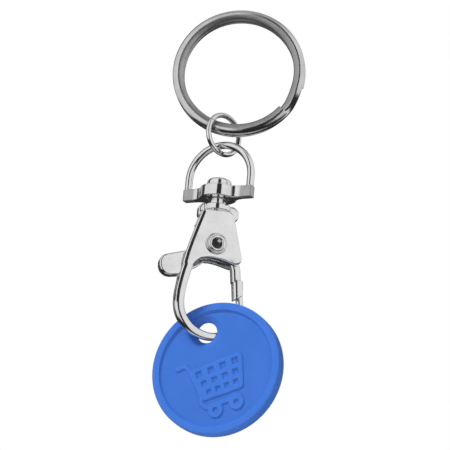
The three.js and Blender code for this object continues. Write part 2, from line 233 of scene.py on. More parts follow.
def filleted(points, radius, steps=6):
    """A closed outline with every corner rounded as far as its sides allow."""
    straight = math.radians(179)
    most = 0.48  # of a side that one corner may use
    p = [np.array(q, float) for q in points]
    out = []
    for i, here in enumerate(p):
        back, on = p[i - 1] - here, p[(i + 1) % len(p)] - here
        lb, lo = np.linalg.norm(back), np.linalg.norm(on)
        back, on = back / lb, on / lo
        angle = math.acos(max(-1.0, min(1.0, float(back @ on))))
        if angle > straight:
            out.append(here)
            continue
        reach = min(radius / math.tan(angle / 2), most * lb, most * lo)
        start, end = here + back * reach, here + on * reach
        for k in range(steps + 1):
            t = k / steps
            out.append((1 - t) ** 2 * start + 2 * t * (1 - t) * here + t * t * end)
    return out


def offset(points, distance):
    """The closed outline pushed outwards; it runs anticlockwise."""
    p = np.array(points, float)
    before, after = np.roll(p, 1, 0), np.roll(p, -1, 0)
    way = after - before
    way /= np.linalg.norm(way, axis=1)[:, None]
    return p + distance * np.column_stack([way[:, 1], -way[:, 0]])


def anticlockwise(points):
    p = np.array(points, float)
    area = np.sum(p[:, 0] * np.roll(p[:, 1], -1) - np.roll(p[:, 0], -1) * p[:, 1])
    return p if area > 0 else p[::-1]


def rounded_rim(rim, steps=5):
    """(outset, depth below the face) pairs of a plain rounded rim."""
    turns = [i / steps * math.pi / 2 for i in range(steps + 1)]
    return [(rim * math.sin(t), rim * (1 - math.cos(t))) for t in turns]


def plate(points, thickness, rim=(), corner=0.0, y=0.0):
    """A plate in the X-Z plane. rim lists (outset, depth below the face) pairs from the flat
    face outwards; without it the edges are square."""
    outline = anticlockwise(filleted(points, corner) if corner else points)
    levels = [(out, thickness / 2 - depth) for out, depth in (rim or [(0.0, 0.0)])]
    sides = [(out, -half) for out, half in levels] + [(out, half) for out, half in reversed(levels)]
    rings = [[(x, y + level, z) for x, z in offset(outline, out)] for out, level in sides]
    count = len(outline)
    verts = [p for ring in rings for p in ring]
    faces = []
    for i in range(len(rings) - 1):
        for k in range(count):
            n = (k + 1) % count
            faces.append((i * count + k, i * count + n, (i + 1) * count + n, (i + 1) * count + k))
    flat = [Vector((x, z, 0)) for x, z in offset(outline, levels[0][0])]
    last = len(verts) - count
    for a, b, c in tessellate_polygon([flat]):
        faces.append((a, b, c))
        faces.append((last + c, last + b, last + a))
    return scratch(verts, faces)


def cast(obj, voxel, passes):
    """The solid re-skinned evenly and eased, so that its corners and joins are soft like a
    die casting's."""
    step = obj.modifiers.new("skin", "REMESH")
    step.mode = "VOXEL"
    step.voxel_size = voxel
    step.use_smooth_shade = True
    ease = obj.modifiers.new("ease", "SMOOTH")
    ease.factor = 0.5
    ease.iterations = passes
    return applied(obj)


def points_of(obj):
    place = np.zeros(len(obj.data.vertices) * 3, np.float32)
    obj.data.vertices.foreach_get("co", place)
    return place.reshape(-1, 3)


def mark(obj, name, values):
    """Keeps a 0 to 1 value at every vertex for the piece's material."""
    layer = obj.data.attributes.new(name, "FLOAT", "POINT")
    layer.data.foreach_set("value", values.astype(np.float32))


def turned(profile, segments=96, upright=False):
    """A solid turned about Y (or Z, if upright) from (radius, height) pairs. A profile that
    doesn't start on the axis closes on itself."""
    solid_core = profile[0][0] == 0

    def at(r, h, t):
        c, s = r * math.cos(t), r * math.sin(t)
        return (c, s, h) if upright else (c, h, s)

    inner = profile[1:-1] if solid_core else profile
    rings = [[at(r, h, 2 * math.pi * k / segments) for k in range(segments)] for r, h in inner]
    return loft(rings, closed=not solid_core)


def arc(centre, radius, start, end, steps):
    """(x, y) pairs along an arc, angles in degrees."""
    angles = np.radians(np.linspace(start, end, steps + 1))
    return [(centre[0] + radius * math.cos(t), centre[1] + radius * math.sin(t)) for t in angles]


def bar(radius, low, high):
    return turned([(0, low), (radius, low), (radius, high), (0, high)], segments=64)


# ---- materials ----------------------------------------------------------------------------------
def node_material(name):
    material = bpy.data.materials.new(name)
    material.use_nodes = True
    tree = material.node_tree
    return material, tree, tree.nodes["Principled BSDF"]


def noise(tree, scale, detail, rough, stretch=(1, 1, 1), seed=0.0):
    """Noise in millimetres of the row frame: scale is its features per millimetre."""
    place = tree.nodes.new("ShaderNodeTexCoord")
    mapping = tree.nodes.new("ShaderNodeMapping")
    mapping.inputs["Scale"].default_value = [1000 * scale * s for s in stretch]
    mapping.inputs["Location"].default_value = (seed, seed * 0.7, -seed)
    texture = tree.nodes.new("ShaderNodeTexNoise")
    texture.inputs["Scale"].default_value = 1.0
    texture.inputs["Detail"].default_value = detail
    texture.inputs["Roughness"].default_value = rough
    tree.links.new(place.outputs["Object"], mapping.inputs["Vector"])
    tree.links.new(mapping.outputs["Vector"], texture.inputs["Vector"])
    return texture.outputs["Fac"]


def ramp(tree, factor, stops):
    node = tree.nodes.new("ShaderNodeValToRGB")
    bands = node.color_ramp.elements
    while len(bands) < len(stops):
        bands.new(0.5)
    for band, (place, value) in zip(bands, stops):
        band.position = place
        band.color = value if len(value) == 4 else (*value, 1)
    tree.links.new(factor, node.inputs["Fac"])
    return node.outputs["Color"]


def grey(value):
    return (value, value, value, 1)


def mixed(tree, factor, a, b, kind="MIX"):
    node = tree.nodes.new("ShaderNodeMix")
    node.data_type = "RGBA"
    node.blend_type = kind
    for name, value in (("Factor", factor), ("A", a), ("B", b)):
        if isinstance(value, bpy.types.NodeSocket):
            tree.links.new(value, node.inputs[name])
        else:
            node.inputs[name].default_value = value
    return node.outputs["Result"]


def kept_value(tree, name):
    """The 0 to 1 value that mark() left on the piece's vertices."""
    node = tree.nodes.new("ShaderNodeAttribute")
    node.attribute_name = name
    return node.outputs["Fac"]


def bumped(tree, shader, layers):
    """Bump layers on the shader: (height, depth in millimetres) pairs."""
    normal = None
    for height, depth in layers:
        node = tree.nodes.new("ShaderNodeBump")
        node.inputs["Strength"].default_value = 1.0
        node.inputs["Distance"].default_value = depth * MM
        tree.links.new(height, node.inputs["Height"])
        if normal is not None:
            tree.links.new(normal, node.inputs["Normal"])
        normal = node.outputs["Normal"]
    tree.links.new(normal, shader.inputs["Normal"])


def plated_metal(name, tint, worn, gloss, waviness, scratches, seed, matt=0.0):
    """Bright plate or polished steel: a slow waviness of its surface, hair scratches whose noise is
    squeezed along the scratches axes, and a thin haze of handling that dulls it in patches. matt
    is the extra roughness where the piece's "matt" value is 1; there the colour is also grained
    and painted darker as painted shade."""
    material, tree, shader = node_material(name)
    shader.inputs["Metallic"].default_value = 1.0
    haze = noise(tree, 0.35, detail=5, rough=0.6, seed=seed)
    colour = ramp(tree, haze, [(0.3, tint), (0.75, worn)])
    hair = noise(tree, 1.0, detail=3, rough=0.7, stretch=scratches, seed=seed + 3)
    fine = ramp(tree, hair, [(0.45, grey(gloss)), (0.72, grey(gloss + 0.1))])
    patches = ramp(tree, haze, [(0.35, grey(0.0)), (0.8, grey(0.12))])
    rough = mixed(tree, 1.0, fine, patches, "ADD")
    slow = noise(tree, 0.5, detail=2, rough=0.4, seed=seed + 7)
    pits = noise(tree, 9, detail=2, rough=0.5, seed=seed + 11)
    layers = [(slow, waviness), (hair, 0.0016), (pits, 0.0007)]
    if matt:
        # Painted shade: where the matt value is 1 the colour is multiplied darker, on top of the
        # extra roughness.
        darker = 0.62
        matt_shade_mask = kept_value(tree, "matt")
        dark = mixed(tree, 1.0, colour, grey(darker), "MULTIPLY")
        colour = mixed(tree, matt_shade_mask, colour, dark)
        rough = mixed(tree, 1.0, rough, mixed(tree, matt_shade_mask, grey(0.0), grey(matt)), "ADD")
        grain = noise(tree, 4.5, detail=3, rough=0.6, seed=seed + 13)
        layers.append((mixed(tree, matt_shade_mask, grey(0.5), grain), 0.008 * matt))
    tree.links.new(colour, shader.inputs["Base Color"])
    tree.links.new(rough, shader.inputs["Roughness"])
    bumped(tree, shader, layers)
    return material


def spring_wire():
    """Bare drawn wire: darker than the plate, stained in patches and finely grained."""
    material, tree, shader = node_material("spring_wire")
    shader.inputs["Metallic"].default_value = 1.0
    stain = noise(tree, 2.2, detail=4, rough=0.6, seed=5)
    colour = ramp(tree, stain, [(0.35, (0.42, 0.41, 0.4)), (0.7, (0.6, 0.6, 0.6))])
    tree.links.new(colour, shader.inputs["Base Color"])
    grain = noise(tree, 12, detail=3, rough=0.6, seed=9)
    rough = ramp(tree, grain, [(0.3, grey(0.24)), (0.7, grey(0.4))])
    tree.links.new(rough, shader.inputs["Roughness"])
    bumped(tree, shader, [(grain, 0.002)])
    return material


def moulded_plastic():
    """Mid-blue moulded plastic: a sparked grain, smoother raised faces that handling has polished
    and that are painted a lighter blue as painted light, and slight flow marks in the colour."""
    material, tree, shader = node_material("moulded_plastic")
    raised = kept_value(tree, "raised")
    flow = noise(tree, 0.18, detail=3, rough=0.5, stretch=(1, 1, 0.6), seed=2)
    field = ramp(tree, flow, [(0.3, (0.05, 0.185, 0.68)), (0.7, (0.058, 0.205, 0.74))])
    # Painted light: the raised faces get a lighter blue than the field, as if more lit; their lower
    # roughness is real.
    polished = ramp(tree, flow, [(0.3, (0.052, 0.2, 0.73)), (0.7, (0.06, 0.215, 0.79))])
    tree.links.new(mixed(tree, raised, field, polished), shader.inputs["Base Color"])
    grain = noise(tree, 7.5, detail=3, rough=0.6, seed=4)
    rough_field = ramp(tree, grain, [(0.3, grey(0.5)), (0.7, grey(0.62))])
    rough_top = ramp(tree, grain, [(0.3, grey(0.36)), (0.7, grey(0.46))])
    tree.links.new(mixed(tree, raised, rough_field, rough_top), shader.inputs["Roughness"])
    shader.inputs["Specular IOR Level"].default_value = 0.4
    shader.inputs["Subsurface Weight"].default_value = 0.08
    shader.inputs["Subsurface Radius"].default_value = (0.2, 0.4, 1.0)
    shader.inputs["Subsurface Scale"].default_value = 0.3 * MM
    slow = noise(tree, 0.9, detail=3, rough=0.5, seed=8)
    bumped(tree, shader, [(slow, 0.03), (grain, 0.02)])
    return material


BRIGHT, DULLED = (0.86, 0.86, 0.86), (0.74, 0.74, 0.74)
RING_STEEL = plated_metal(
    "ring_steel", (0.7, 0.7, 0.7), (0.56, 0.56, 0.57),
    gloss=0.1, waviness=0.02, scratches=(8, 1, 8), seed=1, matt=0.22,
)
EYE_NICKEL = plated_metal(
    "eye_nickel", BRIGHT, DULLED,
    gloss=0.05, waviness=0.012, scratches=(6, 1, 1), seed=60, matt=0.36,
)
NICKEL = plated_metal(
    "nickel_plate", BRIGHT, DULLED,
    gloss=0.05, waviness=0.012, scratches=(6, 1, 1), seed=20,
)
CAST_NICKEL = plated_metal(
    "cast_nickel", BRIGHT, (0.76, 0.76, 0.76),
    gloss=0.06, waviness=0.016, scratches=(1, 1, 7), seed=40,
)
SPRING_WIRE = spring_wire()
BLUE_PLASTIC = moulded_plastic()


def piece(obj, name, place, body, material, sharp=38.0):
    """Puts a finished mesh in the row frame, smooths it and gives it its material and body.
    Edges that turn by more than sharp degrees stay sharp."""
    obj.data.transform(place @ Matrix.Scale(MM, 4))
    obj.name = name
    obj.data.name = name
    obj.data.materials.clear()
    obj.data.materials.append(material)
    obj.data.polygons.foreach_set("use_smooth", [True] * len(obj.data.polygons))
    obj.data.set_sharp_from_angle(angle=math.radians(sharp))
    weigh = obj.modifiers.new("weighted_normals", "WEIGHTED_NORMAL")
    weigh.keep_sharp = True
    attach(obj, body)
    return obj


# ---- split ring ---------------------------------------------------------------------------------
def split_ring():
    """Two turns of flattened wire; the front turn crosses to the back over a short jog. The
    inner side is rougher and painted darker as painted shade."""
    outer_r, width, wire_t, split = 11.77, 2.05, 1.16, 0.06
    start, turn, cross, step = -39.0, 333.0, 25.0, 2.25  # degrees along the wire
    edge = 0.12  # of its rough inner side, which is painted darker as painted shade
    level = (wire_t + split) / 2
    turns = [(t, -level) for t in np.arange(0, turn, step)]
    for f in np.linspace(0, 1, 24):
        turns.append((turn + f * cross, -level + 2 * level * f * f * (3 - 2 * f)))
    turns += [(turn + cross + t, level) for t in np.arange(step, turn + 0.1, step)]
    stations = []
    for t, y in turns:
        a = math.radians(start - t)
        out = Vector((math.cos(a), 0, math.sin(a)))
        at = out * (outer_r - width / 2) + Vector((0, y, 0))
        stations.append((at, out, Vector((0, 1, 0)), 1, 1))
    body = swept(stations, oval(width / 2, wire_t / 2, count=28, power=1.4), cap=0.12)
    place = points_of(body)
    radius = np.hypot(place[:, 0], place[:, 2])
    # This value roughens the inner side and also paints it darker: painted shade.
    mark(body, "matt", np.clip((outer_r - width / 2 - radius) / edge, 0, 1))
    made = piece(body, "key_ring", RING_FRAME, "ring", RING_STEEL, sharp=50)
    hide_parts("split_ring")


# ---- jump ring ----------------------------------------------------------------------------------
def jump_ring():
    """Round wire bent until its ends butt; seam and gap are in degrees."""
    outer_r, wire_r, seam, gap = 4.0, 0.475, 148.0, 0.9
    stations = []
    for a in np.radians(np.linspace(seam + gap, seam + 360 - gap, 121)):
        out = Vector((math.cos(a), 0, math.sin(a)))
        stations.append((out * (outer_r - wire_r), out, Vector((0, 1, 0)), 1, 1))
    body = swept(stations, oval(wire_r, wire_r, count=24), cap=0.03)
    made = piece(body, "link_ring", LINK_FRAME, "link", NICKEL, sharp=50)
    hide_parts("jump_ring")


# ---- swivel eye ---------------------------------------------------------------------------------
def swivel_eye():
    """The bail and the cross bar it stands on, with the bored collar in the bar's middle."""
    outer_r, wire, depth, bend_up = 6.73, 1.35, 1.5, 3.96
    collar_r, bore_r, countersink, lip = 3.2, 1.75, 0.15, 0.16
    foot = 0.4  # height at which the bail's wire starts, inside the bar
    mid = outer_r - wire / 2
    across, along_y = Vector((1, 0, 0)), Vector((0, 1, 0))
    heights = np.linspace(foot, bend_up, 8)
    stations = [(Vector((mid, 0, z)), across, along_y, 1, 1) for z in heights[:-1]]
    for t in np.linspace(0, math.pi, 61):
        out = Vector((math.cos(t), 0, math.sin(t)))
        stations.append((out * mid + Vector((0, 0, bend_up)), out, along_y, 1, 1))
    for z in np.linspace(bend_up, foot, 8)[1:]:
        stations.append((Vector((-mid, 0, z)), -across, along_y, 1, 1))
    bail = swept(stations, oval(wire / 2, depth / 2, count=32, power=1.75))

    # A quarter of the bar's outline from its end to the collar, then mirrored twice.
    d, end = depth / 2, outer_r
    flare = math.atan2(1.55, 2.8)
    side = [(end, d - 0.25), (end - 0.08, d - 0.08), (end - 0.25, d), (4.7, d), (4.2, 0.8)]
    side += [(3.75, 0.92), (3.4, 1.08), (3.1, 1.3)]
    for t in np.linspace(flare, math.pi / 2, 14):
        side.append((collar_r * math.cos(t), collar_r * math.sin(t)))
    upper = side + [(-x, y) for x, y in reversed(side[:-1])]
    shape = anticlockwise(upper + [(x, -y) for x, y in reversed(upper)])
    turns = np.linspace(0, math.pi / 2, 5)
    edge = [(lip * (1 - math.sin(t)), lip * (1 - math.cos(t))) for t in turns]
    levels = edge + [(inset, COLLAR_H - up) for inset, up in reversed(edge)]
    bar_body = loft([[(x, y, z) for x, y in offset(shape, -inset)] for inset, z in levels])

    wide = bore_r + countersink
    bore = [(0, -1), (wide, -1), (wide, 0), (bore_r, countersink)]
    bore += [(bore_r, COLLAR_H - countersink), (wide, COLLAR_H), (wide, 4), (0, 4)]
    body = cut(joined(bail, bar_body), turned(bore, segments=64, upright=True))
    cast(body, voxel=0.08, passes=4)
    matt_shade_from, side_fade, top_fade = 4.3, 0.4, 0.2  # the bar's ends are rougher and painted darker as painted shade, the bail isn't
    place = points_of(body)
    near_end = np.clip((np.abs(place[:, 0]) - matt_shade_from) / side_fade, 0, 1)
    on_bar = np.clip((COLLAR_H + top_fade / 2 - place[:, 2]) / top_fade, 0, 1)
    # This value roughens the bar's ends and also paints them darker: painted shade.
    mark(body, "matt", near_end * on_bar)
    made = piece(body, "swivel_bail", EYE_FRAME, "eye", EYE_NICKEL, sharp=180)
    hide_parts("swivel_eye")


# ---- hook body ----------------------------------------------------------------------------------
# Outlines and lines below are (x, z) from the rivet, seen from the front.
CHEEK = [
    (-2.5, 5.65), (1.9, 5.8), (2.35, 5.4), (2.55, 4.7), (4.3, -1.75), (4.4, -2.3), (4.05, -2.75),
    (3.4, -2.85), (1.97, -2.5), (0.9, -2.27), (-0.3, -2.17), (-1.4, -2.27), (-2.59, -2.61),
    (-3.53, -3.44), (-4.13, -4.3), (-5.16, -4.3), (-4.84, -2.27), (-4.26, 0.0), (-3.52, 2.64),
    (-2.74, 5.3),
]
REAR_NARROWER = 0.8  # the rear cheek's left side stands this far inside the front one's
SHOULDER = [
    (-2.8, 4.6), (-3.1, 5.5), (-3.1, 6.6), (-2.6, 7.2), (2.9, 7.2), (3.5, 6.6), (3.5, 5.5),
    (2.6, 4.6),
]
# (half depth, height above the rivet) of the flat-faced body and leg.
DEPTH_BY_HEIGHT = [
    (2.3, 8.0), (2.3, -2.6), (2.02, -4.6), (1.66, -6.6), (1.32, -8.6), (1.06, -10.6), (0.9, -12.0),
]
SLOT = [
    (-8, 2.9), (-1.5, 3.3), (2.1, 3.3), (2.6, 1.2), (8, 0.6), (8, -4), (-2.8, -4), (-2.8, -6.35),
    (-8, -6.35),
]
HOOK_LINE = [
    (-4.15, -2.2), (-4.5, -4.3), (-4.9, -6.4), (-5.24, -9.1), (-5.2, -11.0), (-4.75, -12.6),
    (-3.85, -13.95), (-2.6, -15.0), (-1.0, -15.68), (0.6, -15.92), (2.2, -15.65), (3.7, -14.8),
    (4.85, -13.4), (5.4, -11.6), (5.45, -9.8), (5.25, -8.1),
]
HOOK_COUNT = 150  # stations along the hook's line
# Width and depth of the hook by the share of its length from the cheek to the tip.
HOOK_WIDTH = [
    (0, 1.5), (0.1, 1.8), (0.25, 1.92), (0.42, 1.9), (0.53, 1.7), (0.62, 1.45), (0.9, 1.38),
    (1, 1.25),
]
HOOK_DEPTH = [
    (0, 4.2), (0.06, 4.0), (0.14, 3.4), (0.22, 2.7), (0.3, 2.2), (0.45, 1.85), (0.56, 1.25),
    (0.7, 1.2), (0.955, 1.3), (0.97, 0.9), (1, 0.9),
]
BODY_T, SLOT_T, SHOULDER_T = 4.6, 2.3, 1.7
NECK_R, POST_R, POST_HEAD_R = 2.45, 1.5, 2.15
NECK_FOOT, NECK_TOP = 6.28, 7.43  # the neck flange's faces above the rivet
RIVET_R, RIVET_BORE_R, RIVET_FLANGE_R, RIVET_FIT = 1.2, 0.88, 1.9, 0.08


def eased(table):
    """The table's values at the hook's stations, with its corners smoothed."""
    reach = 6  # stations on either side that are averaged in
    ys = np.array([look_up(table, x) for x in np.linspace(0, 1, HOOK_COUNT)])
    kernel = np.hanning(2 * reach + 1)
    padded = np.pad(ys, reach, mode="edge")
    return np.convolve(padded, kernel / kernel.sum(), mode="valid")


def hook_wire():
    """The hook from the left cheek down, through the token's hole and up to its tip."""
    line, way = smooth_line(HOOK_LINE, HOOK_COUNT)
    widths, depths = eased(HOOK_WIDTH), eased(HOOK_DEPTH)
    stations = []
    for (x, z), (wx, wz), w, d in zip(line, way, widths, depths):
        stations.append((Vector((x, 0, z)), Vector((wz, 0, -wx)), Vector((0, 1, 0)), w / 2, d / 2))
    return swept(stations, oval(1, 1, count=32, power=2.5), cap=0.2)


def hook_stem():
    """Neck flange, swivel post and the upset head that keeps the eye on."""
    inside = 5.0  # height at which the stem starts, within the shoulder
    under, over, head_edge, crown = 0.18, 0.22, 0.12, 0.75  # corner radii
    side_up = 0.7  # height of the head's upright side
    stem_r = NECK_R - 0.6
    head = COLLAR_UP + COLLAR_H + PLAY
    profile = [(0, inside), (stem_r, inside), (stem_r, NECK_FOOT)]
    profile += arc((NECK_R - under, NECK_FOOT + under), under, -90, 0, 5)
    profile += arc((NECK_R - over, NECK_TOP - over), over, 0, 90, 5)
    profile += [(POST_R, NECK_TOP), (POST_R, head)]
    profile += arc((POST_HEAD_R - head_edge, head + head_edge), head_edge, -90, 0, 3)
    profile += arc((POST_HEAD_R - crown, head + side_up), crown, 0, 90, 8)
    profile += [(0, head + side_up + crown)]
    return turned(profile, upright=True)


def leg_outline():
    """Outline of the upper leg, a little inside its width, from the cheek to the round wire."""
    first, end, every = 4, 56, 4  # stations of the hook's line
    inset_above, narrower_below = 0.34, 0.3
    line, way = smooth_line(HOOK_LINE, HOOK_COUNT)
    widths = eased(HOOK_WIDTH)
    outer, inner = [], []
    for i in range(first, end, every):
        (x, z), (wx, wz) = line[i], way[i]
        inset = inset_above + narrower_below * (i - first) / (end - first)
        reach = widths[i] / 2 - inset
        outer.append((x + wz * reach, z - wx * reach))
        inner.append((x - wz * reach, z + wx * reach))
    return outer + inner[::-1]


def thinned(obj):
    """The flat-faced body with its depth drawn in down the leg."""
    place = points_of(obj)
    depths, heights = zip(*reversed(DEPTH_BY_HEIGHT))
    place[:, 1] *= np.interp(place[:, 2], heights, depths) / (BODY_T / 2)
    obj.data.vertices.foreach_set("co", place.ravel())
    return obj


def drafted_rim():
    """Rim of the cast body: a shallow slope down from the face, then a rounded shoulder."""
    slope_from, drop, shoulder = -0.3, 0.08, 0.27
    rounded = [(drop + out, drop + down) for out, down in rounded_rim(shoulder)[1:]]
    return [(slope_from, 0.0), (drop, drop), *rounded]


def hook_body():
    """Two cheeks that overlap in the middle, the leg, shoulder, stem and hook in one casting."""
    rim, corner, lap = drafted_rim(), 0.9, 0.6
    left, above_leg = -2, -4  # the part of the rear cheek that stands inside the front one
    rear_outline = []
    for x, z in CHEEK:
        rear_outline.append((x + REAR_NARROWER if x < left and z > above_leg else x, z))
    cheek_t, middle = BODY_T / 2 + lap, (BODY_T / 2 - lap) / 2
    cheeks = joined(
        plate(CHEEK, cheek_t, rim, corner, -middle),
        plate(rear_outline, cheek_t, rim, corner, middle),
    )
    flat_faced = thinned(joined(cheeks, plate(leg_outline(), BODY_T, rim)))
    shoulder = plate(SHOULDER, SHOULDER_T, rounded_rim(0.3), corner=0.5)
    body = joined(flat_faced, shoulder, hook_stem(), hook_wire())
    cut(body, plate(SLOT, SLOT_T), bar(RIVET_R + RIVET_FIT, -5, 5))
    cast(body, voxel=0.09, passes=4)
    made = piece(body, "hook_casting", HOOK_FRAME, "hook", CAST_NICKEL, sharp=180)
    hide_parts("hook_body")


# ---- tubular rivet ------------------------------------------------------------------------------
def pivot_rivet():
    """A tube with its ends rolled over: a raised lip round the bore, a groove and a flange."""
    face = BODY_T / 2 + 0.05
    lip = arc((RIVET_BORE_R + 0.3, face + 0.16), 0.3, 180, 20, 10)
    lip += [(RIVET_BORE_R + 0.62, face + 0.06), (RIVET_BORE_R + 0.7, face + 0.06)]
    lip += [(RIVET_BORE_R + 0.76, face + 0.22)]
    lip += arc((RIVET_FLANGE_R - 0.16, face + 0.14), 0.16, 90, 0, 5)
    lip += [(RIVET_FLANGE_R, face), (RIVET_R, face)]
    profile = lip + [(r, -y) for r, y in reversed(lip)]
    made = piece(turned(profile), "hinge_rivet", HOOK_FRAME, "hook", NICKEL)
    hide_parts("pivot_rivet")


# ---- gate lever ---------------------------------------------------------------------------------
LEVER = [
    (-3.4, -1.3), (-8.2, -2.9), (-8.75, -3.25), (-9.05, -3.9), (-9.0, -4.75), (-8.7, -5.45),
    (-8.1, -5.9), (-7.3, -6.02), (-5.9, -5.75), (-5.1, -5.05), (-4.5, -4.1), (-3.9, -3.2),
    (-3.0, -2.3), (-2.0, -1.75), (0, -1.6), (1.6, -1.75), (2.8, -2.6), (4.2, -2.6), (3.4, -1.0),
    (2.3, 0.3), (1.45, 0.9), (0.9, 1.4), (0, 1.65), (-0.9, 1.4), (-1.6, 0.5),
]
ARM = [(2.9, -1.6), (3.7, -2.5), (4.12, -3.6), (4.3, -4.8), (4.42, -5.9)]
GATE_T = 1.96


def gate_lever():
    """Thumb tab, hub with an ear on each side and room for the spring, arm, and the channelled
    end that holds the hook's tip."""
    depth = Vector((0, 1, 0))
    blade = plate(LEVER, GATE_T, rounded_rim(0.3), corner=0.6)
    line, way = smooth_line(ARM, 24)
    run = [(Vector((x, 0, z)), Vector((b, 0, -a)), depth, 1, 1) for (x, z), (a, b) in zip(line, way)]
    arm = swept(run, oval(0.88, 0.9, count=28, power=2.8))
    top, foot = Vector((4.66, 0, -5.6)), Vector((5.1, 0, -9.3))
    on = (foot - top).normalized()
    across = Vector((on.z, 0, -on.x))
    ends = [(top.lerp(foot, f), across, depth, 1, 1) for f in (0, 1)]
    sleeve = swept(ends, oval(1, 0.98, count=32, power=2.6), cap=0.1)
    body = joined(blade, arm, sleeve)
    slanted_end = plate([(3.2, -9.75), (7, -7.25), (7, -12), (3.2, -12)], thickness=4)
    channel = plate([(4.3, -7.0), (7, -7.0), (7, -12), (4.68, -12)], thickness=1.14)
    spring_room = bar(2.42, -0.66, 0.66)
    leg_room = plate([(0, -2.32), (0, -1.4), (2.35, -1.4), (2.35, -2.32)], thickness=1.32)
    cut(body, slanted_end, channel, spring_room, leg_room)
    ear_r, ear = 1.6, 0.16  # radius and half thickness
    ears = [bar(ear_r, y - ear, y + ear) for y in (GATE_T / 2 - ear, -GATE_T / 2 + ear)]
    cut(joined(body, *ears), bar(RIVET_R + PLAY, -5, 5))
    cast(body, voxel=0.08, passes=3)
    made = piece(body, "gate_casting", HOOK_FRAME, "gate", CAST_NICKEL, sharp=180)
    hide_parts("gate_lever")


# ---- gate spring --------------------------------------------------------------------------------
def gate_spring():
    """A torsion coil round the rivet, with one leg up the slot and a short one at its other end."""
    mean_r, wire_r, coils, rise = 2.0, 0.13, 3.25, 0.86
    leg_up, end_x, end_z = (2.75, 1.9, 1.0), 1.85, -1.25
    depth = Vector((0, 1, 0))
    out = Vector((-1, 0, 0))
    stations = [(Vector((-mean_r, -rise / 2, z)), out, depth, 1, 1) for z in leg_up]
    for f in np.linspace(0, 1, 160):
        t = math.pi + f * coils * 2 * math.pi
        out = Vector((math.cos(t), 0, math.sin(t)))
        stations.append((out * mean_r + Vector((0, -rise / 2 + rise * f, 0)), out, depth, 1, 1))
    stations.append((Vector((end_x, rise / 2, end_z)), out, depth, 1, 1))
    body = swept(stations, oval(wire_r, wire_r, count=12), cap=0.05)
    made = piece(body, "torsion_spring", HOOK_FRAME, "hook", SPRING_WIRE, sharp=60)
    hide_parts("gate_spring")


# ---- trolley token ------------------------------------------------------------------------------
TOKEN_R, TOKEN_T, FIELD_T, RIM_WIDTH = 11.625, 2.3, 1.56, 1.45
HOLE_R, HOLE_UP, RELIEF = 1.82, 6.95, 0.24
# The cart's outlines and strokes are (x, z) from the disc's middle, seen from the front.
BASKET = [
    (-4.25, 1.25), (4.3, 1.25), (4.95, 0.95), (5.12, 0.3), (4.0, -4.55), (3.65, -5.0), (3.1, -5.1),
    (-3.5, -4.85), (-4.4, -0.4),
]
# Height, first window's middle, pitch and half size of each row of square windows.
WINDOW_ROWS = [(-0.05, -3.1, 2.25, 0.52), (-1.92, -2.62, 1.96, 0.46), (-3.66, -2.17, 1.66, 0.4)]
WINDOWS_IN_ROW, WINDOW_CORNER = 4, 0.1
POLE = [
    (-6.7, 2.2), (-5.1, 2.35), (-4.6, 1.2), (-3.7, -3.9), (-4.1, -5.2), (-3.5, -6.1), (-2.0, -6.6),
]
CHASSIS = [(-3.5, -6.1), (1.9, -6.3)]
WHEELS = [(-2.0, -7.1), (1.93, -7.1)]
POLE_HALF, CHASSIS_HALF, WHEEL_R, WHEEL_BORE_R = 0.36, 0.4, 1.4, 0.42


def to_segment(u, v, a, b):
    """Distance from every grid point to a straight stroke."""
    way = np.array(b) - np.array(a)
    t = np.clip(((u - a[0]) * way[0] + (v - a[1]) * way[1]) / (way @ way), 0, 1)
    return np.hypot(u - a[0] - t * way[0], v - a[1] - t * way[1])


def to_outline(u, v, points):
    """Signed distance to a closed outline, negative inside."""
    away = np.full(u.shape, 1e9)
    inside = np.zeros(u.shape, bool)
    for (x0, y0), (x1, y1) in zip(points, points[1:] + points[:1]):
        away = np.minimum(away, to_segment(u, v, (x0, y0), (x1, y1)))
        if y0 != y1:
            crossing = (y0 > v) != (y1 > v)
            inside ^= crossing & (u < (x1 - x0) * (v - y0) / (y1 - y0) + x0)
    return np.where(inside, -away, away)


def cart_distance(u, v):
    """Signed distance to the raised cart, negative on it."""
    basket = to_outline(u, v, BASKET)
    for z, first, pitch, half in WINDOW_ROWS:
        for i in range(WINDOWS_IN_ROW):
            du = np.abs(u - first - i * pitch) - half + WINDOW_CORNER
            dv = np.abs(v - z) - half + WINDOW_CORNER
            outside = np.hypot(np.maximum(du, 0), np.maximum(dv, 0))
            window = outside + np.minimum(np.maximum(du, dv), 0) - WINDOW_CORNER
            basket = np.maximum(basket, -window)
    strokes = [to_segment(u, v, a, b) - POLE_HALF for a, b in zip(POLE, POLE[1:])]
    strokes.append(to_segment(u, v, *CHASSIS) - CHASSIS_HALF)
    cart = np.minimum.reduce([basket, *strokes])
    for x, z in WHEELS:
        away = np.hypot(u - x, v - z)
        cart = np.minimum(cart, away - WHEEL_R)
        cart = np.maximum(cart, WHEEL_BORE_R - away)
    return cart


